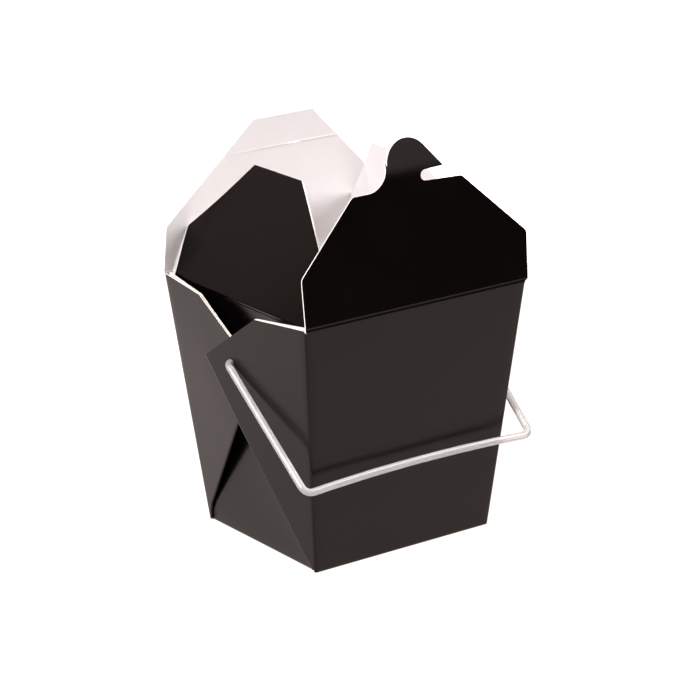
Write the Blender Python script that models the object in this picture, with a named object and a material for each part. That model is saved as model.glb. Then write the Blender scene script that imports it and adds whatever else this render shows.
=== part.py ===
"""Folded paperboard noodle box, open at the top, with a swinging plastic bail.

Metres, +Z up. The origin is the centre of the underside, X runs along the wide
front wall and the front faces -Y.
"""

import math

import bmesh
import bpy
from mathutils import Matrix, Vector

# Paperboard and the box's overall size.
BOARD = 0.0005
HEIGHT = 0.100
BASE_LENGTH = 0.082
BASE_DEPTH = 0.072
RIM_LENGTH = 0.1022
RIM_DEPTH = 0.094

# The end walls stand inside the corner folds, further in at the rim.
END_BASE = 0.0399
END_RIM = 0.04735
END_HEIGHT = 0.099

# Corner gussets: the web of each corner, folded double and laid over the end.
GUSSET = 0.0011
GUSSET_FOLD = math.radians(39)
GUSSET_REACH = 0.0912
GUSSET_CUT = {-1: (0.0287, 0.0963), 1: (0.0244, 0.0963)}
GUSSET_START = 0.001
GUSSET_TOP = 0.1005
GUSSET_SPREAD = {-1: math.radians(5.6), 1: math.radians(2.2)}

# Flaps: half widths and heights above their creases, and the lean at rest.
CREASE_GAP = 0.00035
WALL_STOP = 0.0002
SHOULDER_RADIUS = 0.003
FRONT_HALF = 0.0516
FRONT_SHOULDER = 0.019
FRONT_TOP = 0.0451
FRONT_TOP_HALF = 0.0247
BACK_HALF = 0.0514
BACK_SHOULDER = 0.0195
BACK_TOP = 0.0571
BACK_TOP_HALF = 0.0138
END_FLAP_HALF = 0.045
END_SHOULDER = (0.0435, 0.0193)
END_TIP = (0.0158, 0.050)
LEAN_FRONT = math.radians(6.1)
LEAN_BACK = math.radians(8.3)
LEAN_LEFT = math.radians(21.7)
LEAN_RIGHT = math.radians(25.6)

# Hook on the front flap: a round head on a swept root, with a locking notch.
# Each is an arc with its angles in degrees, and the last two stand on the flap's top edge.
HEAD_CENTRE = (0.0005, 0.0533)
HEAD_RADIUS = 0.0099
HEAD_ARC = (42, 176)
HOOK_TIP = (0.0162, 0.0502)
ROOT_MIDDLE = -0.0186
ROOT_RADIUS = 0.0090
ROOT_ARC = (5, -90)
NOTCH_MIDDLE = 0.0076
NOTCH_RADIUS = 0.0024
NOTCH_ARC = (270, 90)

# Slit in the back flap for the hook: its middle, half length and half width.
SLIT_HEIGHT = 0.0444
SLIT_HALF = 0.013
SLIT_OPEN = 0.0004

# Bail: round plastic rod, thinner at its pins, which pass through the gussets.
# The shares say how far along an arm or half the bar each point of its curve lies.
ROD = 0.0014
PIN = 0.00118
PIVOT_DEPTH = -0.0008
PIVOT_HEIGHT = 0.0769
PIN_END = 0.0476
PIVOT_HALF = 0.0549
ELBOW_RADIUS = 0.0022
ARM_BOW = 0.0011
BAR_HALF = 0.0521
BAR_REACH = 0.0611
BAR_RADIUS = 0.004
BAR_BOW = 0.0018
BAIL_SWING = math.radians(50.6)
ARM_SHARES = (0.2, 0.35, 0.5, 0.65, 0.8)
BAR_SHARES = (0.8, 0.6, 0.4, 0.2, 0)
HOLE = 0.0016
HOLE_SPAN = (0.0470, 0.0575)

# Plain finishes, as linear colour and roughness.
PAPERBOARD = (0.02, 0.019, 0.02), 0.45
MILKY_PLASTIC = (0.62, 0.62, 0.64), 0.35

ARC_STEPS = 8
LENGTH_FLARE = (RIM_LENGTH - BASE_LENGTH) / 2 / HEIGHT
DEPTH_FLARE = (RIM_DEPTH - BASE_DEPTH) / 2 / HEIGHT


def collection(name):
    made = bpy.data.collections.new(name)
    bpy.context.scene.collection.children.link(made)
    return made


def material(name, colour, roughness):
    made = bpy.data.materials.new(name)
    made.use_nodes = True
    shader = made.node_tree.nodes["Principled BSDF"]
    shader.inputs["Base Color"].default_value = (*colour, 1)
    shader.inputs["Roughness"].default_value = roughness
    shader.inputs["Metallic"].default_value = 0
    return made


def frame(origin, along, up):
    """Matrix with x along a crease, y up the panel and z out of its face."""
    x = Vector(along).normalized()
    y = Vector(up).normalized()
    z = x.cross(y)
    turned = Matrix((x, y, z)).transposed().to_4x4()
    return Matrix.Translation(origin) @ turned


def arc(centre, radius, start, end, steps=ARC_STEPS):
    """Points on an arc, with its angles in degrees."""
    angles = [math.radians(start + (end - start) * i / steps) for i in range(steps + 1)]
    return [(centre[0] + radius * math.cos(a), centre[1] + radius * math.sin(a)) for a in angles]


def mesh_of(source, target):
    """Replaces a curve, or an object with modifiers, by the plain mesh it makes."""
    graph = bpy.context.evaluated_depsgraph_get()
    mesh = bpy.data.meshes.new_from_object(source.evaluated_get(graph))
    cage = bmesh.new()
    cage.from_mesh(mesh)
    bmesh.ops.remove_doubles(cage, verts=cage.verts, dist=1e-6)
    bmesh.ops.recalc_face_normals(cage, faces=cage.faces)
    cage.to_mesh(mesh)
    cage.free()
    name, place = source.name, source.matrix_world.copy()
    bpy.data.objects.remove(source)
    made = bpy.data.objects.new(name, mesh)
    made.matrix_world = place
    target.objects.link(made)
    return made


def panel(name, rings, place, target, thickness=BOARD):
    """A flat piece of board: the first ring is its outline, the others are holes."""
    curve = bpy.data.curves.new(name, "CURVE")
    curve.dimensions = "2D"
    curve.fill_mode = "BOTH"
    curve.extrude = thickness / 2
    for ring in rings:
        spline = curve.splines.new("POLY")
        spline.points.add(len(ring) - 1)
        for point, (x, y) in zip(spline.points, ring):
            point.co = (x, y, 0, 1)
        spline.use_cyclic_u = True
    source = bpy.data.objects.new(name, curve)
    source.matrix_world = place
    target.objects.link(source)
    return mesh_of(source, target)


def half_length(z):
    return BASE_LENGTH / 2 + LENGTH_FLARE * z


def half_depth(z):
    return BASE_DEPTH / 2 + DEPTH_FLARE * z


def trapezoid(low, high, slope, half):
    """Outline between two heights, where half gives the half width at a height."""
    return [
        (-half(low), low * slope),
        (half(low), low * slope),
        (half(high), high * slope),
        (-half(high), high * slope),
    ]


def base_panel(target):
    half_x = END_BASE + BOARD / 2
    half_y = BASE_DEPTH / 2
    outline = [(-half_x, -half_y), (half_x, -half_y), (half_x, half_y), (-half_x, half_y)]
    place = frame((0, 0, BOARD / 2), (1, 0, 0), (0, 1, 0))
    return panel("base", [outline], place, target)


def wide_wall(face, target):
    """Front wall where face is -1, back wall where it is 1."""
    slope = math.hypot(1, DEPTH_FLARE)
    outline = trapezoid(BOARD / 2, HEIGHT - WALL_STOP, slope, half_length)
    origin = (0, face * (half_depth(0) - BOARD / 2), 0)
    place = frame(origin, (-face, 0, 0), (0, face * DEPTH_FLARE, 1))
    return panel("wide_wall", [outline], place, target)


def end_wall(side, target):
    """Left end where side is -1, right end where it is 1."""
    flare = (END_RIM - END_BASE) / END_HEIGHT
    outline = trapezoid(
        BOARD / 2,
        END_HEIGHT - WALL_STOP,
        math.hypot(1, flare),
        lambda z: half_depth(z) - BOARD / 2,
    )
    place = frame((side * END_BASE, 0, 0), (0, side, 0), (side * flare, 0, 1))
    return panel("end_wall", [outline], place, target)


def gusset(side, face, target):
    """One corner's doubled web, hinged on the wide wall and spread a little off the end."""
    foot = Vector((side * (half_length(0) - GUSSET / 2), face * (half_depth(0) - BOARD / 2), 0))
    edge = Vector((side * LENGTH_FLARE, face * DEPTH_FLARE, 1)).normalized()
    inward = Vector((0, -face, 0))
    flat = (inward - edge * inward.dot(edge)).normalized()
    out = flat.cross(edge)
    out *= side if out.x > 0 else -side
    spread = GUSSET_SPREAD[face]
    along = flat * math.cos(spread) + out * math.sin(spread)
    outline = [
        (0, GUSSET_START),
        (GUSSET_START * math.tan(GUSSET_FOLD), GUSSET_START),
        (GUSSET_REACH * math.sin(GUSSET_FOLD), GUSSET_REACH * math.cos(GUSSET_FOLD)),
        GUSSET_CUT[face],
        (0, GUSSET_TOP),
    ]
    return panel("gusset", [outline], frame(foot, along, edge), target, GUSSET)


def unite(name, pieces, bodies, cutters):
    """Joins the pieces into one solid and takes the cutters out of it."""
    first, *others = pieces
    first.name = name
    for other in others:
        joined = first.modifiers.new("Join " + other.name, "BOOLEAN")
        joined.operation = "UNION"
        joined.object = other
    for cutter in cutters:
        cut = first.modifiers.new("Cut " + cutter.name, "BOOLEAN")
        cut.operation = "DIFFERENCE"
        cut.object = cutter
    made = mesh_of(first, bodies)
    for other in others:
        bpy.data.objects.remove(other)
    return made


def pin_hole(side, cutters):
    depth = HOLE_SPAN[1] - HOLE_SPAN[0]
    middle = side * (HOLE_SPAN[0] + HOLE_SPAN[1]) / 2
    bpy.ops.mesh.primitive_cylinder_add(
        vertices=24,
        radius=HOLE,
        depth=depth,
        location=(middle, PIVOT_DEPTH, PIVOT_HEIGHT),
        rotation=(0, math.pi / 2, 0),
    )
    made = bpy.context.object
    made.name = "pin_hole"
    made.hide_render = True
    made.display_type = "WIRE"
    for owner in made.users_collection:
        owner.objects.unlink(made)
    cutters.objects.link(made)
    return made


def carton(bodies, cutters):
    pieces = [base_panel(bodies)]
    for face in (-1, 1):
        pieces.append(wide_wall(face, bodies))
    for side in (-1, 1):
        pieces.append(end_wall(side, bodies))
        for face in (-1, 1):
            pieces.append(gusset(side, face, bodies))
    holes = [pin_hole(side, cutters) for side in (-1, 1)]
    bpy.context.view_layer.update()
    return unite("carton", pieces, bodies, holes)


def fillet(before, corner, after, radius, steps=6):
    """Points that round the corner of a polyline."""
    back = (before - corner).normalized()
    on = (after - corner).normalized()
    half = back.angle(on) / 2
    centre = corner + (back + on).normalized() * radius / math.sin(half)
    start = corner + back * radius / math.tan(half) - centre
    end = corner + on * radius / math.tan(half) - centre
    return [centre + start.slerp(end, i / steps).normalized() * radius for i in range(steps + 1)]


def shouldered(half, shoulder, top_half, top):
    """Half outline of a wide flap, with a rounded shoulder, from its crease to its top."""
    before = Vector((half, CREASE_GAP, 0))
    corner = Vector((half, shoulder, 0))
    after = Vector((top_half, top, 0))
    curve = fillet(before, corner, after, SHOULDER_RADIUS)
    return [(p.x, p.y) for p in [before, *curve, after]]


def mirrored(points):
    return [(-x, y) for x, y in reversed(points)]


def hook():
    """The front flap's top edge, from its right end to its left end."""
    return [
        *arc((NOTCH_MIDDLE, FRONT_TOP + NOTCH_RADIUS), NOTCH_RADIUS, *NOTCH_ARC),
        HOOK_TIP,
        *arc(HEAD_CENTRE, HEAD_RADIUS, *HEAD_ARC),
        *arc((ROOT_MIDDLE, FRONT_TOP + ROOT_RADIUS), ROOT_RADIUS, *ROOT_ARC),
    ]


def front_flap(target):
    side = shouldered(FRONT_HALF, FRONT_SHOULDER, FRONT_TOP_HALF, FRONT_TOP)
    outline = side + hook() + mirrored(side)
    origin = (0, -(half_depth(HEIGHT) - BOARD / 2), HEIGHT)
    up = (0, math.sin(LEAN_FRONT), math.cos(LEAN_FRONT))
    return panel("flap_front", [outline], frame(origin, (1, 0, 0), up), target)


def back_flap(target):
    side = shouldered(BACK_HALF, BACK_SHOULDER, BACK_TOP_HALF, BACK_TOP)
    outline = side + mirrored(side)
    slit = [
        (-SLIT_HALF, SLIT_HEIGHT),
        (0, SLIT_HEIGHT - SLIT_OPEN),
        (SLIT_HALF, SLIT_HEIGHT),
        (0, SLIT_HEIGHT + SLIT_OPEN),
    ]
    origin = (0, half_depth(HEIGHT) - BOARD / 2, HEIGHT)
    up = (0, -math.sin(LEAN_BACK), math.cos(LEAN_BACK))
    return panel("flap_back", [outline, slit], frame(origin, (-1, 0, 0), up), target)


def end_flap(name, side, lean, target):
    half = [(END_FLAP_HALF, CREASE_GAP), END_SHOULDER, END_TIP]
    outline = half + mirrored(half)
    origin = (side * END_RIM, 0, END_HEIGHT)
    up = (-side * math.sin(lean), 0, math.cos(lean))
    return panel(name, [outline], frame(origin, (0, side, 0), up), target)


def bail_line():
    """Half of the rod's centre line, from its pin to the bar's middle, hanging down."""
    pin = Vector((-PIN_END, 0, 0))
    elbow = Vector((-PIVOT_HALF, 0, 0))
    corner = Vector((-BAR_HALF, 0, -BAR_REACH))
    arm = []
    for share in ARM_SHARES:
        bow = Vector((-ARM_BOW * math.sin(math.pi * share), 0, 0))
        arm.append(elbow.lerp(corner, share) + bow)
    bar = []
    for share in BAR_SHARES:
        rise = BAR_BOW * (1 - share**2)
        bar.append(Vector((-BAR_HALF * share, 0, rise - BAR_REACH)))
    return [
        pin,
        *fillet(pin, elbow, arm[0], ELBOW_RADIUS),
        *arm,
        *fillet(arm[-1], corner, bar[0], BAR_RADIUS),
        *bar,
    ]


def bail(target):
    half = bail_line()
    line = half + [Vector((-p.x, p.y, p.z)) for p in reversed(half[:-1])]
    curve = bpy.data.curves.new("handle", "CURVE")
    curve.dimensions = "3D"
    curve.bevel_depth = ROD
    curve.bevel_resolution = 4
    curve.use_fill_caps = True
    spline = curve.splines.new("POLY")
    spline.points.add(len(line) - 1)
    for point, place in zip(spline.points, line):
        point.co = (*place, 1)
        down = min(1, -place.z / BAR_REACH)
        point.radius = (PIN + (ROD - PIN) * down) / ROD
    source = bpy.data.objects.new("handle", curve)
    turn = Matrix.Rotation(-BAIL_SWING, 4, "X")
    source.matrix_world = Matrix.Translation((0, PIVOT_DEPTH, PIVOT_HEIGHT)) @ turn
    target.objects.link(source)
    return mesh_of(source, target)


def main():
    for old in list(bpy.data.objects):
        bpy.data.objects.remove(old)
    bodies = collection("noodle_box")
    cutters = collection("cutters")
    board = material("black_paperboard", *PAPERBOARD)
    plastic = material("milky_plastic", *MILKY_PLASTIC)

    made = [
        carton(bodies, cutters),
        front_flap(bodies),
        back_flap(bodies),
        end_flap("flap_left", -1, LEAN_LEFT, bodies),
        end_flap("flap_right", 1, LEAN_RIGHT, bodies),
    ]
    for piece in made:
        piece.data.materials.clear()
        piece.data.materials.append(board)
    handle = bail(bodies)
    handle.data.materials.append(plastic)
    handle.data.shade_smooth()


main()
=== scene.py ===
"""Looks of the black paperboard noodle box: folded board, hinged flaps and a moulded bail."""

import math

import bmesh
import bpy
from mathutils import Matrix, Vector


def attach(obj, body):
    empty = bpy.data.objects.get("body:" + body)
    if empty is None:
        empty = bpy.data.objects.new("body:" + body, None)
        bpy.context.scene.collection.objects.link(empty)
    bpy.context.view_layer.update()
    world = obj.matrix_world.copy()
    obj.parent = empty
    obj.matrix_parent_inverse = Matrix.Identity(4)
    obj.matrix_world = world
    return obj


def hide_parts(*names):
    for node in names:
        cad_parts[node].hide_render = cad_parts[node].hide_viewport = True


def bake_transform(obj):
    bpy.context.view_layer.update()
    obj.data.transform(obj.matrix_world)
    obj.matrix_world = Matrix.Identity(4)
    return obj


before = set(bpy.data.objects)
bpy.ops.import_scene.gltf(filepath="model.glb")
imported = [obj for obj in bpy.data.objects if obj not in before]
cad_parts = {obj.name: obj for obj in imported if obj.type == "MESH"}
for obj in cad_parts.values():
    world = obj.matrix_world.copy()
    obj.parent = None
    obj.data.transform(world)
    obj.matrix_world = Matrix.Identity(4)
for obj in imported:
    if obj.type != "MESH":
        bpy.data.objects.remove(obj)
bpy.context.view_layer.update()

MM = 0.001

# The blank's board, and its sizes as folded, in millimetres. Where a value is given for
# two sides, -1 is the front or the left one, and 1 the back or the right one.
BOARD = 0.5
HEIGHT = 100.0
BASE_LENGTH = 82.0
BASE_DEPTH = 72.0
RIM_LENGTH = 102.2
RIM_DEPTH = 94.0
LENGTH_FLARE = (RIM_LENGTH - BASE_LENGTH) / 2 / HEIGHT
DEPTH_FLARE = (RIM_DEPTH - BASE_DEPTH) / 2 / HEIGHT
CORNER = 0.8
PLY = 0.52

# Rows up a wall and points along them. The lowest row is the top of the rounded foot,
# but the rounded outside corners run on down to CORNER_FOOT. Both are shares of the height.
WALL_ROWS = 20
FOOT_SHARE = 0.012
CORNER_FOOT = 0.004
CORNER_STEPS = 4
WIDE_STEPS = 24
END_STEPS = 20

# The walls end just under the flaps' creases. The strip above them belongs to the flaps.
WIDE_STRIP = 0.8
WIDE_TOP = HEIGHT - WIDE_STRIP
END_CREASE = 99.0
END_STRIP = 1.6
END_TOP = END_CREASE - END_STRIP
END_BASE = 39.9
END_RIM = 47.5
END_BOW = 2.8
END_BOW_POWER = 2.5

# Pressed grooves along the creases: middle above the crease, half height and depth.
# The last number is half the height that the board bends over.
WIDE_GROOVE = (0.3, 0.85, 0.12, 0.35)
END_GROOVE = (-0.95, 0.35, 0.07, 0.18)

# Corner webs, folded double over the ends: the fold's angle from the corner and its reach,
# the cut outline, the angle that the web stands off its end wall, and how far its plies part.
FOLD_ANGLE = 39.0
FOLD_REACH = {-1: 92.4, 1: 91.2}
WEB_CUT = {-1: (28.7, 96.3), 1: (24.4, 96.3)}
WEB_TOP = 101.2
WEB_SPREAD = {-1: 5.6, 1: 2.2}
WEB_OPEN = {-1: 2.6, 1: 2.0}
WEB_OPEN_POWER = 4
WEB_COLUMNS = (8, 4)
FOLD_EDGE = 0.008

# Each web bulges out, by degrees, up to a share of its height where the bulge fades.
# Its fold starts a little way up the corner, but never takes more than a share of its width.
WEB_BULGE = {-1: 0.6, 1: 1.2}
BULGE_TOP = 0.6
WEB_START = {-1: 0.0, 1: 4.0}
START_LIMIT = 0.7

# How near a rim has to be to a seam or to the foot to be inked.
SEAM_REACH = 0.1
FOOT_RIM = 1.3

# Flaps: half widths and heights above their creases, and the lean at rest in degrees.
# The front flap is a little off centre, so its halves differ.
WALL_HALF = 50.7
SHOULDER_RADIUS = 3.0
FRONT_HALF = {-1: 50.8, 1: 52.0}
FRONT_SHOULDER = 19.0
FRONT_TOP = 45.1
FRONT_TOP_HALF = {-1: 25.8, 1: 24.3}
FRONT_SHOULDER_HALF = {-1: 50.8, 1: 53.0}
BACK_HALF = 51.4
BACK_SHOULDER = 19.5
BACK_TOP = 57.1
BACK_TOP_HALF = 13.8
BACK_TOP_RADIUS = 1.0
END_HALF = 45.0
END_SHOULDER = {
    -1: {"front": (44.0, 22.0), "back": (43.5, 20.2)},
    1: {"front": (44.0, 22.0), "back": (43.3, 22.5)},
}
END_TIP = {
    -1: {"front": (14.7, 50.6), "back": (15.8, 50.4)},
    1: {"front": (14.7, 51.2), "back": (14.8, 52.0)},
}
END_ROUNDING = 2.0

# Just above its crease each flap steps out past the wall: how far, from and to which height.
STEP_OUT = 0.1
STEP_LOW = -0.2
STEP_HIGH = 0.6

# The end flaps' back corners bend away past a line with a fine ridge. Higher up the flap
# stands out more, by STRAIGHTEN for each millimetre. Then each flap's lean, and the cell size.
FACET_LINE = ((41.4, 2.2), (34.2, 15.4), (33.0, 23.3), (28.0, 38.0))
CORNER_BEND = {-1: 0.9, 1: -3.6}
BEND_RISE = 18.0
RIDGE_HALF = 0.5
RIDGE_HEIGHT = 0.05
STRAIGHTEN = 0.045
LEAN_FRONT = 6.1
LEAN_BACK = 8.3
LEAN_LEFT = 21.7
LEAN_RIGHT = 25.6
PITCH = 2.0

# Hook on the front flap, and the curl of its head: from and to which height, and its angle.
HEAD_CENTRE = (0.9, 52.9)
HEAD_RADIUS = 9.9
HEAD_ARC = (42, 176)
HOOK_TIP = (16.2, 50.2)
ROOT_MIDDLE = -18.6
ROOT_RADIUS = 9.0
ROOT_ARC = (5, -90)
NOTCH_MIDDLE = 7.6
NOTCH_FLOOR = 45.9
NOTCH_RADIUS = 2.05
NOTCH_ARC = (270, 90)
TOP_RADIUS = 2.5
CURL_START = 48.8
CURL_END = 52.2
CURL_ANGLE = 8.5

# Slit and score line across the back flap. The score fades from one width to another, by a share.
# The slit's gaps are half widths along it.
SLIT_HEIGHT = 44.4
SCORE_HALF = 0.6
SCORE_DEPTH = 0.1
SCORE_FADE = (-10.0, 30.0, 0.6)
SLIT_GAPS = ((-13.0, 0), (-9.5, 0.06), (-6.0, 0.3), (-2.5, 0.08), (5.0, 0.05), (13.0, 0))

# Bail: squared rod, thinner at its pins. The reach goes down from the pivot, and the swing forward.
ROD = 2.7
ROD_EDGE = 0.36
PIN = 2.0
PIVOT = Vector((0, -0.8, 76.9))
PIN_END = 47.7
PIVOT_HALF = 54.8
ELBOW_RADIUS = 2.2
BAR_HALF = {-1: 53.0, 1: 52.6}
BAR_REACH = 61.1
BAR_RADIUS = 4.0
BAR_BOW = 1.8
BAIL_SWING = 50.6

# Studio: lengths in metres, angles in degrees above the horizon, powers in watts. The table
# glows more to the back left, and the sky is dark on the camera's side.
TABLE_RADIUS = 0.36
TABLE_COLOUR = "5e5e5e"
TABLE_GLOW = (1.08, 1.34)
LIGHT_TINT = "fff1ee"
TABLE_SLOPE = (-0.53, 0.85)
TABLE_SPAN = (0.0, 0.22)
ROOM_RADIUS = 6.0
SKY_START = -1.0
SKY_FULL = 9.0
SKY_LEVEL = 0.75
SKY_TINT = "ffe7df"
CAMERA_SIDE = (-0.58, -0.81, 0.0)
CAMERA_SHADE = (0.8, 0.1)
SOFTBOXES = (
    ("key", (0.8, -0.8, 1.1), 0.5, 24),
    ("left", (-1.05, -0.2, 0.9), 0.6, 24),
    ("card", (0.72, -1.08, 0.38), 0.3, 0.34),
)

# Colour sockets of a mix node.
MIX_A, MIX_B, MIX_RESULT = 6, 7, 2


def link(obj):
    bpy.context.scene.collection.objects.link(obj)
    return obj


def linear(code, alpha=1.0):
    """sRGB hex to linear colour."""
    values = [int(code[i:i + 2], 16) / 255 for i in (0, 2, 4)]
    made = [v / 12.92 if v <= 0.04045 else ((v + 0.055) / 1.055) ** 2.4 for v in values]
    return (*made, alpha)


def add(tree, kind, settings=None, links=None):
    """A node of that kind, with its settings, and its inputs set to values or other sockets."""
    node = tree.nodes.new(kind)
    for name, value in (settings or {}).items():
        setattr(node, name, value)
    for name, value in (links or {}).items():
        if isinstance(value, bpy.types.NodeSocket):
            tree.links.new(value, node.inputs[name])
        else:
            node.inputs[name].default_value = value
    return node


def new_material(name):
    made = bpy.data.materials.new(name)
    made.use_nodes = True
    tree = made.node_tree
    return made, tree, tree.nodes["Principled BSDF"]


def coated_black_board():
    """Black ink under a thin satin varnish on folding boxboard: soft, streak-free sheen."""
    made, tree, shader = new_material("varnished_black_boxboard")
    place = add(tree, "ShaderNodeTexCoord")
    fibre = add(tree, "ShaderNodeTexNoise", {}, {
        "Vector": place.outputs["Object"], "Scale": 1 / (1.6 * MM), "Detail": 4.0, "Roughness": 0.6,
    })
    cloud = add(tree, "ShaderNodeTexNoise", {}, {
        "Vector": place.outputs["Object"], "Scale": 1 / (22 * MM), "Detail": 2.0,
    })
    ink = add(tree, "ShaderNodeMix", {"data_type": "RGBA"}, {
        "Factor": cloud.outputs["Fac"], MIX_A: linear("030202"), MIX_B: linear("060404"),
    })
    gloss = add(tree, "ShaderNodeMapRange", {}, {
        "Value": cloud.outputs["Fac"], "To Min": 0.2, "To Max": 0.26,
    })
    bump = add(tree, "ShaderNodeBump", {}, {
        "Height": fibre.outputs["Fac"], "Strength": 0.10, "Distance": 0.05 * MM,
    })
    tree.links.new(ink.outputs[MIX_RESULT], shader.inputs["Base Color"])
    tree.links.new(gloss.outputs["Result"], shader.inputs["Roughness"])
    tree.links.new(bump.outputs["Normal"], shader.inputs["Normal"])
    shader.inputs["IOR"].default_value = 1.31
    shader.inputs["Specular Tint"].default_value = (1.0, 0.87, 0.84, 1.0)
    return made


def white_board():
    """The blank's uncoated inside: bleached fibre, matt, with faint mottling."""
    made, tree, shader = new_material("bleached_board_inside")
    place = add(tree, "ShaderNodeTexCoord")
    fibre = add(tree, "ShaderNodeTexNoise", {}, {
        "Vector": place.outputs["Object"], "Scale": 1 / (0.9 * MM), "Detail": 5.0, "Roughness": 0.65,
    })
    cloud = add(tree, "ShaderNodeTexNoise", {}, {
        "Vector": place.outputs["Object"], "Scale": 1 / (18 * MM), "Detail": 3.0,
    })
    pulp = add(tree, "ShaderNodeMix", {"data_type": "RGBA"}, {
        "Factor": cloud.outputs["Fac"], MIX_A: linear("eae6e6"), MIX_B: linear("f1eeee"),
    })
    bump = add(tree, "ShaderNodeBump", {}, {
        "Height": fibre.outputs["Fac"], "Strength": 0.15, "Distance": 0.08 * MM,
    })
    tree.links.new(pulp.outputs[MIX_RESULT], shader.inputs["Base Color"])
    tree.links.new(bump.outputs["Normal"], shader.inputs["Normal"])
    shader.inputs["Roughness"].default_value = 0.62
    return made


def cut_edge():
    """The die-cut edge of the board: open cream-white fibre between the two faces."""
    made, tree, shader = new_material("die_cut_board_edge")
    place = add(tree, "ShaderNodeTexCoord")
    fibre = add(tree, "ShaderNodeTexNoise", {}, {
        "Vector": place.outputs["Object"], "Scale": 1 / (0.6 * MM), "Detail": 4.0,
    })
    pulp = add(tree, "ShaderNodeMix", {"data_type": "RGBA"}, {
        "Factor": fibre.outputs["Fac"], MIX_A: linear("e9e0d6"), MIX_B: linear("faf6f1"),
    })
    tree.links.new(pulp.outputs[MIX_RESULT], shader.inputs["Base Color"])
    shader.inputs["Roughness"].default_value = 0.8
    return made


def milky_plastic():
    """Injection-moulded natural polypropylene: milky, faintly see-through, smooth."""
    made, tree, shader = new_material("moulded_natural_polypropylene")
    place = add(tree, "ShaderNodeTexCoord")
    flow = add(tree, "ShaderNodeTexNoise", {}, {
        "Vector": place.outputs["Object"], "Scale": 1 / (6 * MM), "Detail": 2.0,
    })
    tone = add(tree, "ShaderNodeMix", {"data_type": "RGBA"}, {
        "Factor": flow.outputs["Fac"], MIX_A: linear("dcdbdb"), MIX_B: linear("e6e4e4"),
    })
    tree.links.new(tone.outputs[MIX_RESULT], shader.inputs["Base Color"])
    shader.inputs["Roughness"].default_value = 0.3
    shader.inputs["IOR"].default_value = 1.49
    shader.inputs["Transmission Weight"].default_value = 0.65
    shader.inputs["Subsurface Weight"].default_value = 0.3
    shader.inputs["Subsurface Radius"].default_value = (0.002, 0.002, 0.002)
    return made


def half_length(z):
    return BASE_LENGTH / 2 + LENGTH_FLARE * z - BOARD / 2


def half_depth(z):
    return BASE_DEPTH / 2 + DEPTH_FLARE * z - BOARD / 2


def smooth(x):
    x = min(1.0, max(0.0, x))
    return x * x * (3 - 2 * x)


def patch(cage, rows):
    """Faces between rows of points, which all have the same length."""
    made = [[cage.verts.new(p) for p in row] for row in rows]
    for low, high in zip(made, made[1:]):
        for a, b, c, d in zip(low, low[1:], high[1:], high):
            cage.faces.new((a, b, c, d))


def bend_points(before, corner, after, steps):
    """A smooth bend from one point to another round a corner."""
    made = []
    for i in range(steps + 1):
        t = i / steps
        made.append(before * (1 - t) ** 2 + corner * 2 * t * (1 - t) + after * t * t)
    return made


def plain_mesh(obj):
    """Replaces an object's mesh and modifiers by the mesh that they make."""
    graph = bpy.context.evaluated_depsgraph_get()
    mesh = bpy.data.meshes.new_from_object(obj.evaluated_get(graph))
    name = obj.name
    bpy.data.objects.remove(obj)
    mesh.name = name
    return link(bpy.data.objects.new(name, mesh))


# The places of the three finishes on every piece of board: outside, inside and cut.
CUT_SLOT = 2


def board_piece(name, cage, inside, materials):
    """Gives an open sheet the board's thickness: black outside, white inside, cream at its cuts.

    inside is a point, in millimetres, that the black face looks away from.
    """
    bmesh.ops.remove_doubles(cage, verts=cage.verts, dist=1e-4)
    bmesh.ops.recalc_face_normals(cage, faces=cage.faces)
    cage.faces.ensure_lookup_table()
    vote = sum(f.normal.dot(f.calc_center_median() - inside) * f.calc_area() for f in cage.faces)
    if vote < 0:
        bmesh.ops.reverse_faces(cage, faces=cage.faces)
    bmesh.ops.scale(cage, vec=Vector((MM, MM, MM)), verts=cage.verts)
    mesh = bpy.data.meshes.new(name)
    cage.to_mesh(mesh)
    cage.free()
    for piece in materials:
        mesh.materials.append(piece)
    obj = link(bpy.data.objects.new(name, mesh))
    solid = obj.modifiers.new("Board", "SOLIDIFY")
    solid.thickness = BOARD * MM
    solid.offset = 0
    solid.use_even_offset = True
    solid.thickness_clamp = 0
    solid.material_offset = 1
    solid.material_offset_rim = CUT_SLOT
    bpy.context.view_layer.update()
    made = plain_mesh(obj)
    made.data.shade_smooth()
    made.data.set_sharp_from_angle(angle=math.radians(40))
    return made


def web_radius(angle, face):
    """How far the web reaches from the foot of its fold, at an angle from the corner's edge."""
    fold = math.radians(FOLD_ANGLE)
    tip = Vector((FOLD_REACH[face] * math.sin(fold) - CORNER, FOLD_REACH[face] * math.cos(fold)))
    cut = Vector((WEB_CUT[face][0] - CORNER, WEB_CUT[face][1]))
    top = Vector((0, WEB_TOP))
    ray = Vector((math.sin(angle), math.cos(angle)))
    start, end = (top, cut) if angle <= math.atan2(cut.x, cut.y) else (cut, tip)
    run = end - start
    cross = ray.x * run.y - ray.y * run.x
    return (start.x * run.y - start.y * run.x) / cross


def rows_up():
    """Heights from the foot to the top, as shares."""
    return [FOOT_SHARE + (1 - FOOT_SHARE) * i / WALL_ROWS for i in range(WALL_ROWS + 1)]


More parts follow.
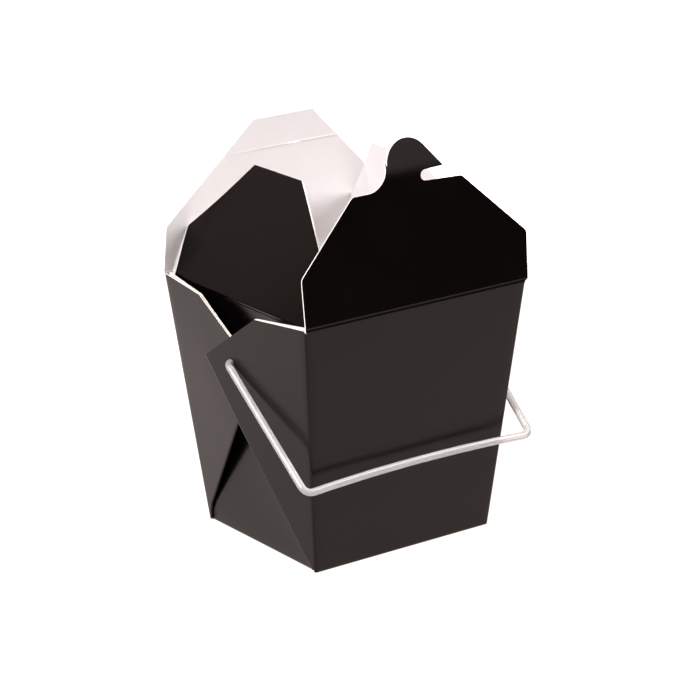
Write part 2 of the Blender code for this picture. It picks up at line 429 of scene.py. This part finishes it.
def web(side, face, share):
    """One corner web at one height: the corner's foot and edge, the outer ply, the fold, the inner ply."""
    foot = Vector((side * half_length(0), face * half_depth(0), 0))
    edge = Vector((side * LENGTH_FLARE, face * DEPTH_FLARE, 1)).normalized()
    inward = Vector((0, -face, 0))
    flat = (inward - edge * inward.dot(edge)).normalized()
    out = flat.cross(edge)
    out *= side if out.x > 0 else -side
    bulge = WEB_BULGE[face] * (1 - smooth((share - BULGE_TOP) / (1 - BULGE_TOP)))
    spread = math.radians(WEB_SPREAD[face] + bulge)
    along = flat * math.cos(spread) + out * math.sin(spread)
    outward = out * math.cos(spread) - flat * math.sin(spread)

    fold = math.radians(FOLD_ANGLE)
    cut = math.atan2(WEB_CUT[face][0] - CORNER, WEB_CUT[face][1])
    first, second = WEB_COLUMNS
    angles = [cut * i / first for i in range(first + 1)]
    angles += [cut + (fold - cut) * i / second for i in range(1, second)]
    angles += [fold - FOLD_EDGE, fold]
    opening = (WEB_OPEN[face] - PLY) * share
    outer, inner = [], []
    for angle in angles:
        reach = web_radius(angle, face) * share
        across = math.tan(angle) / math.tan(fold)
        width = reach * math.sin(angle)
        p = CORNER + width - min(WEB_START[face] * (1 - share) * across, START_LIMIT * width)
        q = reach * math.cos(angle)
        point = foot + along * p + edge * q
        gap = PLY + opening * (1 - across)**WEB_OPEN_POWER
        outer.append(point)
        inner.append(point - outward * gap)
    past = along * math.cos(fold) - edge * math.sin(fold)
    turn = []
    for i in range(1, 5):
        a = math.pi * i / 5
        middle = (outer[-1] + inner[-1]) / 2
        turn.append(middle + outward * (PLY / 2 * math.cos(a)) + past * (PLY / 2 * math.sin(a)))
    return foot, edge, outer, turn, list(reversed(inner))


def wide_row(face, share):
    """One row across a wide wall, from the left corner to the right one."""
    z = WIDE_TOP * share
    half = half_length(z) - CORNER
    y = face * half_depth(z)
    return [Vector((half * (2 * i / WIDE_STEPS - 1), y, z)) for i in range(WIDE_STEPS + 1)]


def end_depth(face, z):
    """Where the end wall's corner fold stands, behind a wide wall."""
    return face * (half_depth(z) - CORNER - PLY / 2)


def end_inset(z):
    """Half the distance between the end walls at their corners."""
    return END_BASE + (END_RIM - END_BASE) * z / END_CREASE


def end_row(side, share):
    """One row across an end wall, from the front corner to the back one, bowed in at the rim."""
    z = END_TOP * share
    bow = END_BOW * (1 - (1 - share) ** END_BOW_POWER)
    made = []
    for i in range(END_STEPS + 1):
        along = 2 * i / END_STEPS - 1
        x = end_inset(z) - bow * (1 - along**2)
        made.append(Vector((side * x, along * abs(end_depth(1, z)), z)))
    return made


def foot_rows(row, inward):
    """The rounded fold between a wall's lowest row and the bottom, from the bottom up."""
    made = []
    for point in row:
        below = Vector((point.x, point.y, BOARD / 2))
        made.append(bend_points(below + inward * CORNER, below, point, 4))
    return [list(level) for level in zip(*made)][:-1]


def corner_row(side, face, share):
    """One row round a corner: the rounded corner, both plies of its web and the fold to the end wall."""
    foot, edge, outer, turn, inner = web(side, face, share)
    z = WIDE_TOP * share
    wall = wide_row(face, share)[-1 if side == 1 else 0]
    bend = bend_points(wall, foot + edge * (z / edge.z), outer[0], CORNER_STEPS)[:-1]
    end = end_row(side, share)[-1 if face == 1 else 0]
    middle = (inner[-1] + end) / 2 + Vector((0, face * PLY / 2, 0))
    return bend + outer + turn + inner[:-1] + bend_points(inner[-1], middle, end, 3)


def carton(materials):
    cage = bmesh.new()
    shares = rows_up()
    wide_foot, end_foot = {}, {}
    for face in (-1, 1):
        rows = [wide_row(face, share) for share in shares]
        foot = foot_rows(rows[0], Vector((0, -face, 0)))
        wide_foot[face] = foot[0]
        patch(cage, foot + rows)
    for side in (-1, 1):
        rows = [end_row(side, share) for share in shares]
        foot = foot_rows(rows[0], Vector((-side, 0, 0)))
        end_foot[side] = foot[0]
        patch(cage, foot + rows)
    left, right = end_foot[-1][0].x, end_foot[1][0].x
    xs = [left, *(p.x for p in wide_foot[-1] if left < p.x < right), right]
    ys = [wide_foot[-1][0].y, *(p.y for p in end_foot[-1]), wide_foot[1][0].y]
    patch(cage, [[Vector((x, y, BOARD / 2)) for x in xs] for y in ys])
    for side in (-1, 1):
        for face in (-1, 1):
            rows = [corner_row(side, face, share) for share in shares]
            foot = corner_row(side, face, CORNER_FOOT)
            patch(cage, [foot[:CORNER_STEPS + 1], rows[0][:CORNER_STEPS + 1]])
            patch(cage, rows)
    made = board_piece("folded_carton", cage, Vector((0, 0, HEIGHT / 2)), materials)
    wide, end = half_depth(WIDE_TOP) - SEAM_REACH, end_inset(END_TOP) + SEAM_REACH
    ink_seam(made, lambda p: p.z < FOOT_RIM)
    ink_seam(made, lambda p: abs(p.z - WIDE_TOP) < SEAM_REACH and abs(p.y) > wide)
    ink_seam(made, lambda p: abs(p.z - END_TOP) < SEAM_REACH and abs(p.x) < end)
    return made


def ink_seam(made, chosen):
    """Blackens the rim where two pieces of the same sheet meet, because no cut is there.

    chosen says which rim faces, from their middles in millimetres.
    """
    for face in made.data.polygons:
        if face.material_index == CUT_SLOT and chosen(face.center / MM):
            face.material_index = 0


def arc(centre, radius, start, end, steps=12):
    angles = [math.radians(start + (end - start) * i / steps) for i in range(steps + 1)]
    return [(centre[0] + radius * math.cos(a), centre[1] + radius * math.sin(a)) for a in angles]


def rounded(before, corner, after, radius, steps=5):
    """The corner of a flat outline, rounded."""
    before, corner, after = (Vector((*p, 0)) for p in (before, corner, after))
    back = (before - corner).normalized()
    on = (after - corner).normalized()
    reach = radius / math.tan(back.angle(on) / 2)
    points = bend_points(corner + back * reach, corner, corner + on * reach, steps)
    return [(p.x, p.y) for p in points]


def mirrored(points):
    return [(-x, y) for x, y in reversed(points)]


def wide_outline(half, shoulder, tip, radius):
    """Half of a front or back flap's outline, from the strip's foot to the rounded top corner."""
    low = [(WALL_HALF, -WIDE_STRIP), (WALL_HALF + STEP_OUT, STEP_LOW), (half, STEP_HIGH)]
    side = rounded(low[-1], shoulder, tip, SHOULDER_RADIUS)
    return low + side + rounded(shoulder, tip, (0, tip[1]), radius)


def front_outline():
    halves = {}
    for side in (-1, 1):
        shoulder = (FRONT_SHOULDER_HALF[side], FRONT_SHOULDER)
        tip = (FRONT_TOP_HALF[side], FRONT_TOP)
        halves[side] = wide_outline(FRONT_HALF[side], shoulder, tip, TOP_RADIUS)
    hook = [
        *arc((NOTCH_MIDDLE, NOTCH_FLOOR + NOTCH_RADIUS), NOTCH_RADIUS, *NOTCH_ARC),
        HOOK_TIP,
        *arc(HEAD_CENTRE, HEAD_RADIUS, *HEAD_ARC),
        *arc((ROOT_MIDDLE, FRONT_TOP + ROOT_RADIUS), ROOT_RADIUS, *ROOT_ARC),
    ]
    return halves[1] + hook + mirrored(halves[-1])


def back_outline():
    tip = (BACK_TOP_HALF, BACK_TOP)
    half = wide_outline(BACK_HALF, (BACK_HALF, BACK_SHOULDER), tip, BACK_TOP_RADIUS)
    return half + mirrored(half)


def end_outline(side):
    """An end flap's outline. Its u axis points to the back on the right end, to the front on the left."""
    wall_half = abs(end_depth(1, END_TOP))
    low = [(wall_half, -END_STRIP), (wall_half - STEP_OUT, STEP_LOW), (END_HALF, STEP_HIGH)]
    halves = {}
    for end in ("front", "back"):
        shoulder, tip = END_SHOULDER[side][end], END_TIP[side][end]
        halves[end] = low + rounded(low[-1], shoulder, tip, END_ROUNDING) + [tip]
    ahead, behind = ("back", "front") if side == 1 else ("front", "back")
    return halves[ahead] + mirrored(halves[behind])


def flat_sheet(rings, pitch, rows=(), lines=()):
    """A flat sheet with that outline and holes, cut into cells small enough to bend.

    It is cut along the rows, and along lines that each pass through two points.
    """
    curve = bpy.data.curves.new("blank", "CURVE")
    curve.dimensions = "2D"
    curve.fill_mode = "BOTH"
    for ring in rings:
        spline = curve.splines.new("POLY")
        spline.points.add(len(ring) - 1)
        for point, (x, y) in zip(spline.points, ring):
            point.co = (x, y, 0, 1)
        spline.use_cyclic_u = True
    source = link(bpy.data.objects.new("blank", curve))
    bpy.context.view_layer.update()
    graph = bpy.context.evaluated_depsgraph_get()
    mesh = bpy.data.meshes.new_from_object(source.evaluated_get(graph))
    bpy.data.objects.remove(source)
    cage = bmesh.new()
    cage.from_mesh(mesh)
    bpy.data.meshes.remove(mesh)
    bmesh.ops.remove_doubles(cage, verts=cage.verts, dist=1e-4)
    bmesh.ops.dissolve_limit(cage, angle_limit=0.01, verts=cage.verts, edges=cage.edges)
    lows = [min(v.co[i] for v in cage.verts) for i in range(2)]
    highs = [max(v.co[i] for v in cage.verts) for i in range(2)]
    cuts = []
    for axis in range(2):
        count = round((highs[axis] - lows[axis]) / pitch)
        cuts += [(axis, lows[axis] + (highs[axis] - lows[axis]) * i / count) for i in range(1, count)]
    cuts += [(1, level) for level in rows]
    planes = []
    for axis, level in cuts:
        where, normal = Vector((0, 0, 0)), Vector((0, 0, 0))
        where[axis], normal[axis] = level, 1
        planes.append((where, normal))
    planes += [(Vector((*a, 0)), Vector((b[1] - a[1], a[0] - b[0], 0)).normalized()) for a, b in lines]
    for where, normal in planes:
        everything = cage.verts[:] + cage.edges[:] + cage.faces[:]
        bmesh.ops.bisect_plane(cage, geom=everything, dist=1e-4, plane_co=where, plane_no=normal)
    return cage


def dent(v, middle, half, depth):
    """Depth of a pressed groove at a height above the crease."""
    away = abs(v - middle) / half
    return 0 if away >= 1 else depth * 0.5 * (1 + math.cos(math.pi * away))


def flap(name, rings, origin, along, wall_up, flap_up, groove, relief, materials, rows=(), lines=()):
    """A flap with the strip of board that it bends on.

    relief gives how far the face stands out at a point of the flat flap. The sheet is cut
    along rows and lines where the relief turns.
    """
    middle, half, depth, bend = groove
    crease_rows = [middle + half * i / 8 for i in range(-8, 9)] + [bend * i / 3 for i in range(-3, 4)]
    cage = flat_sheet(rings, PITCH, [*crease_rows, *rows], lines)
    along = along.normalized()
    wall_up, flap_up = wall_up.normalized(), flap_up.normalized()
    out = along.cross(flap_up)
    for vert in cage.verts:
        u, v = vert.co.x, vert.co.y
        if v <= -bend:
            rise = wall_up * v
        elif v >= bend:
            rise = flap_up * v
        else:
            t = (v + bend) / (2 * bend)
            rise = flap_up * bend * t * t - wall_up * bend * (1 - t) ** 2
        vert.co = origin + along * u + rise + out * (relief(u, v) - dent(v, middle, half, depth))
    made = board_piece(name, cage, Vector((0, 0, HEIGHT)), materials)
    foot = min(v.co.z for v in made.data.vertices) / MM
    ink_seam(made, lambda p: p.z - foot < SEAM_REACH)
    return made


def front_flap(materials):
    origin = Vector((0, -half_depth(HEIGHT), HEIGHT))
    lean = math.radians(LEAN_FRONT)

    def relief(u, v):
        slope = math.tan(math.radians(CURL_ANGLE))
        past = min(max(0.0, v - CURL_START), CURL_END - CURL_START)
        return -slope * (past**2 / (2 * (CURL_END - CURL_START)) + max(0.0, v - CURL_END))

    return flap(
        "flap_front_board", [front_outline()], origin, Vector((1, 0, 0)),
        Vector((0, -DEPTH_FLARE, 1)), Vector((0, math.sin(lean), math.cos(lean))),
        WIDE_GROOVE, relief, materials,
    )


def back_flap(materials):
    lower = [(u, SLIT_HEIGHT - gap) for u, gap in SLIT_GAPS]
    upper = [(u, SLIT_HEIGHT + gap) for u, gap in reversed(SLIT_GAPS[1:-1])]
    slit = lower + upper
    origin = Vector((0, half_depth(HEIGHT), HEIGHT))
    lean = math.radians(LEAN_BACK)

    def relief(u, v):
        start, end, loss = SCORE_FADE
        depth = SCORE_DEPTH * (1 - loss * smooth((u - start) / (end - start)))
        return -dent(v, SLIT_HEIGHT, SCORE_HALF, depth)

    return flap(
        "flap_back_board", [back_outline(), slit], origin, Vector((-1, 0, 0)),
        Vector((0, DEPTH_FLARE, 1)), Vector((0, -math.sin(lean), math.cos(lean))),
        WIDE_GROOVE, relief, materials, [SLIT_HEIGHT + SCORE_HALF * i / 3 for i in range(-3, 4)],
    )


def facet(v):
    """How far from the middle the end flap's back corner starts to bend away, at a height."""
    marks = FACET_LINE
    for (u0, v0), (u1, v1) in zip(marks, marks[1:]):
        if v <= v1:
            return u0 + (u1 - u0) * max(0.0, v - v0) / (v1 - v0)
    return marks[-1][0]


def end_flap(name, side, lean, materials):
    origin = Vector((side * END_RIM, 0, END_CREASE))
    lean = math.radians(lean)
    flare = Vector((side * (END_RIM - END_BASE) / END_CREASE, 0, 1))
    wall_half = abs(end_depth(1, END_TOP))

    def relief(u, v):
        bow = -END_BOW * (1 - min(1.0, (u / wall_half) ** 2)) + max(0.0, v) * STRAIGHTEN
        start = facet(v)
        past = max(0.0, side * u - start) / (END_HALF - start)
        ridge = RIDGE_HEIGHT * max(0.0, 1 - abs(side * u - start) / RIDGE_HALF)
        return bow + CORNER_BEND[side] * past * smooth(v / BEND_RISE) + ridge

    lines = []
    for low, high in zip(FACET_LINE, FACET_LINE[1:]):
        for shift in (-RIDGE_HALF, 0, RIDGE_HALF):
            lines.append([(side * (u + shift), v) for u, v in (low, high)])
    return flap(
        name, [end_outline(side)], origin, Vector((0, side, 0)), flare,
        Vector((-side * math.sin(lean), 0, math.cos(lean))), END_GROOVE, relief, materials, (), lines,
    )


def half_bail(side):
    """One half of the rod's centre line, from its pin to the bar's middle, hanging down."""
    pin, elbow = Vector((side * PIN_END, 0, 0)), Vector((side * PIVOT_HALF, 0, 0))
    corner = Vector((side * BAR_HALF[side], 0, -BAR_REACH))
    arm, bar = [], []
    for i in range(1, 10):
        arm.append(elbow.lerp(corner, i / 10))
    for i in range(9, -1, -1):
        share = i / 10
        bar.append(Vector((side * BAR_HALF[side] * share, 0, BAR_BOW * (1 - share**2) - BAR_REACH)))
    start = elbow + (arm[0] - elbow).normalized() * ELBOW_RADIUS
    into = elbow - Vector((side * ELBOW_RADIUS, 0, 0))
    before = corner + (arm[-1] - corner).normalized() * BAR_RADIUS
    after = corner + (bar[0] - corner).normalized() * BAR_RADIUS
    arm = [p for p in arm if (p - elbow).length > ELBOW_RADIUS and (p - corner).length > BAR_RADIUS]
    return [pin, *bend_points(into, elbow, start, 6), *arm, *bend_points(before, corner, after, 8), *bar]


def bail_route():
    """The rod's centre line, from pin to pin, at rest, and its share of the way down at each point."""
    line = half_bail(-1) + list(reversed(half_bail(1)[:-1]))
    turn = Matrix.Rotation(math.radians(-BAIL_SWING), 3, "X")
    shares = [min(1.0, -p.z / BAR_REACH) for p in line]
    return [PIVOT + turn @ p for p in line], shares


def rod_tree(finish):
    """A rod of rounded square section along a curve, as thick as the curve's radius says."""
    tree = bpy.data.node_groups.new("Squared rod", "GeometryNodeTree")
    face = tree.interface
    face.new_socket("Geometry", in_out="INPUT", socket_type="NodeSocketGeometry")
    face.new_socket("Geometry", in_out="OUTPUT", socket_type="NodeSocketGeometry")
    for name in ("Width", "Edge radius"):
        face.new_socket(name, in_out="INPUT", socket_type="NodeSocketFloat")
    entry = add(tree, "NodeGroupInput")
    section = add(tree, "GeometryNodeCurvePrimitiveQuadrilateral", {}, {
        "Width": entry.outputs["Width"], "Height": entry.outputs["Width"],
    })
    eased = add(tree, "GeometryNodeFilletCurve", {"mode": "POLY"}, {
        "Curve": section.outputs["Curve"], "Count": 4, "Radius": entry.outputs["Edge radius"],
    })
    rod = add(tree, "GeometryNodeCurveToMesh", {}, {
        "Curve": entry.outputs["Geometry"], "Profile Curve": eased.outputs["Curve"], "Fill Caps": True,
    })
    real = add(tree, "GeometryNodeRealizeInstances", {}, {"Geometry": rod.outputs["Mesh"]})
    dressed = add(tree, "GeometryNodeSetMaterial", {}, {
        "Geometry": real.outputs["Geometry"], "Material": finish,
    })
    add(tree, "NodeGroupOutput", {}, {"Geometry": dressed.outputs["Geometry"]})
    return tree


def bail(finish):
    line, shares = bail_route()
    curve = bpy.data.curves.new("bail_rod", "CURVE")
    curve.dimensions = "3D"
    spline = curve.splines.new("POLY")
    spline.points.add(len(line) - 1)
    for point, place, share in zip(spline.points, line, shares):
        point.co = (*(place * MM), 1)
        point.radius = (PIN + (ROD - PIN) * share) / ROD
    obj = link(bpy.data.objects.new("bail_rod", curve))
    tree = rod_tree(finish)
    nodes = obj.modifiers.new("Rod", "NODES")
    nodes.node_group = tree
    sizes = {"Width": ROD * MM, "Edge radius": ROD * ROD_EDGE * MM}
    for item in tree.interface.items_tree:
        if item.in_out == "INPUT" and item.name in sizes:
            nodes[item.identifier] = sizes[item.name]
    bpy.context.view_layer.update()
    made = plain_mesh(obj)
    made.data.shade_smooth()
    made.data.set_sharp_from_angle(angle=math.radians(50))
    return made


def camera():
    """A long lens, from the front left and a little above."""
    azimuth, elevation, roll = math.radians(-35.613), math.radians(18.237), math.radians(-0.965)
    distance, focal = 1232.4, 3201.6
    frame_size = 700
    aim = (345.583, 376.29)
    back = Vector((
        math.sin(azimuth) * math.cos(elevation),
        -math.cos(azimuth) * math.cos(elevation),
        math.sin(elevation),
    ))
    right = (-back).cross(Vector((0, 0, 1))).normalized()
    up = right.cross(-back)
    turned_right = right * math.cos(roll) + up * math.sin(roll)
    turned_up = up * math.cos(roll) - right * math.sin(roll)
    place = Vector((0, 0, 60)) + back * distance
    place -= turned_right * (aim[0] - frame_size / 2) / focal * distance
    place += turned_up * (aim[1] - frame_size / 2) / focal * distance
    data = bpy.data.cameras.new("camera")
    data.sensor_width = 36
    data.lens = focal / frame_size * data.sensor_width
    obj = link(bpy.data.objects.new("camera", data))
    turn = Matrix((turned_right, turned_up, back)).transposed().to_4x4()
    obj.matrix_world = Matrix.Translation(place * MM) @ turn
    bpy.context.scene.camera = obj


def stage_shape(name, finish, build):
    """A plain studio surface of one finish, its mesh filled by build."""
    mesh = bpy.data.meshes.new(name)
    mesh.materials.append(finish)
    cage = bmesh.new()
    build(cage)
    cage.to_mesh(mesh)
    cage.free()
    obj = link(bpy.data.objects.new(name, mesh))
    return obj


def camera_only(obj):
    for ray in ("diffuse", "glossy", "transmission", "volume_scatter", "shadow"):
        setattr(obj, "visible_" + ray, False)


def glowing(name, colour, tint, glow):
    """A pale studio surface that also gives off light, as a lit table or a lit wall does."""
    made, tree, shader = new_material(name)
    shader.inputs["Base Color"].default_value = linear(colour)
    shader.inputs["Roughness"].default_value = 1.0
    shader.inputs["Specular IOR Level"].default_value = 0
    shader.inputs["Emission Color"].default_value = linear(tint)
    if isinstance(glow, tuple):
        place = add(tree, "ShaderNodeTexCoord")
        along = add(tree, "ShaderNodeVectorMath", {"operation": "DOT_PRODUCT"}, {
            0: place.outputs["Object"], 1: (*TABLE_SLOPE, 0.0),
        })
        level = add(tree, "ShaderNodeMapRange", {"interpolation_type": "SMOOTHSTEP"}, {
            "Value": along.outputs["Value"], "From Min": TABLE_SPAN[0], "From Max": TABLE_SPAN[1],
            "To Min": glow[0], "To Max": glow[1],
        })
        tree.links.new(level.outputs["Result"], shader.inputs["Emission Strength"])
    else:
        shader.inputs["Emission Strength"].default_value = glow
    return made


def ring(cage, inner, outer):
    """A flat ring on the ground, or a disc where inner is nothing."""
    count = 96
    rims = []
    for radius in (inner, outer):
        if radius:
            angles = [2 * math.pi * i / count for i in range(count)]
            rims.append([cage.verts.new((radius * math.cos(a), radius * math.sin(a), 0)) for a in angles])
    if inner:
        low, high = rims
        for i in range(count):
            j = (i + 1) % count
            cage.faces.new((low[i], high[i], high[j], low[j]))
    else:
        cage.faces.new(rims[0])


def softbox(name, place, size, power):
    data = bpy.data.lights.new(name, "AREA")
    data.shape = "DISK"
    data.size = size
    data.energy = power
    obj = link(bpy.data.objects.new(name, data))
    obj.location = place
    aim = Vector((0, 0, 0.1)) - Vector(place)
    obj.rotation_mode = "QUATERNION"
    obj.rotation_quaternion = aim.to_track_quat("-Z", "Y")


def sky():
    """A dim even light from above, and none from the dark studio along the horizon."""
    world = bpy.data.worlds.new("studio")
    world.use_nodes = True
    tree = world.node_tree
    way = add(tree, "ShaderNodeTexCoord")
    parts = add(tree, "ShaderNodeSeparateXYZ", {}, {"Vector": way.outputs["Generated"]})
    rise = add(tree, "ShaderNodeMapRange", {"interpolation_type": "SMOOTHSTEP"}, {
        "Value": parts.outputs["Z"], "From Min": math.sin(math.radians(SKY_START)),
        "From Max": math.sin(math.radians(SKY_FULL)), "To Min": 0.0, "To Max": SKY_LEVEL,
    })
    facing = add(tree, "ShaderNodeVectorMath", {"operation": "DOT_PRODUCT"}, {
        0: way.outputs["Generated"], 1: CAMERA_SIDE,
    })
    behind = add(tree, "ShaderNodeMapRange", {"interpolation_type": "SMOOTHSTEP"}, {
        "Value": facing.outputs["Value"], "From Min": 0.0, "From Max": CAMERA_SHADE[0],
        "To Min": 1.0, "To Max": CAMERA_SHADE[1],
    })
    level = add(tree, "ShaderNodeMath", {"operation": "MULTIPLY"}, {
        0: rise.outputs["Result"], 1: behind.outputs["Result"],
    })
    background = tree.nodes["Background"]
    background.inputs["Color"].default_value = linear(SKY_TINT)
    tree.links.new(level.outputs["Value"], background.inputs["Strength"])
    bpy.context.scene.world = world


def studio():
    """A lit white table in a dark room, with two soft lights and a dim card low on the right.

    The black board mirrors the table near the box, and the hook's head mirrors the card.
    Past the table, only the camera sees the white.
    """
    table = glowing("studio_table", TABLE_COLOUR, LIGHT_TINT, TABLE_GLOW)
    wall = glowing("studio_wall", "ffffff", "ffffff", 1.3)
    stage_shape("table", table, lambda cage: ring(cage, 0, TABLE_RADIUS))
    far = stage_shape("far_floor", wall, lambda cage: ring(cage, TABLE_RADIUS, ROOM_RADIUS))
    room = stage_shape("backdrop", wall, lambda cage: bmesh.ops.create_icosphere(
        cage, subdivisions=4, radius=ROOM_RADIUS,
    ))
    camera_only(far)
    camera_only(room)
    sky()
    for name, place, size, power in SOFTBOXES:
        softbox(name, place, size, power)
    bpy.context.scene.view_settings.view_transform = "Standard"


def dress():
    black, white, edge = coated_black_board(), white_board(), cut_edge()
    board = (black, white, edge)

    box = carton(board)
    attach(box, "carton")
    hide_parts("carton")

    flaps = (
        ("front_flap", "flap_front", front_flap(board)),
        ("back_flap", "flap_back", back_flap(board)),
        ("left_flap", "flap_left", end_flap("flap_left_board", -1, LEAN_LEFT, board)),
        ("right_flap", "flap_right", end_flap("flap_right_board", 1, LEAN_RIGHT, board)),
    )
    for body, node, piece in flaps:
        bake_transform(piece)
        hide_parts(node)

    rod = bail(milky_plastic())
    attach(rod, "bail")
    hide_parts("handle")


camera()
studio()
dress()
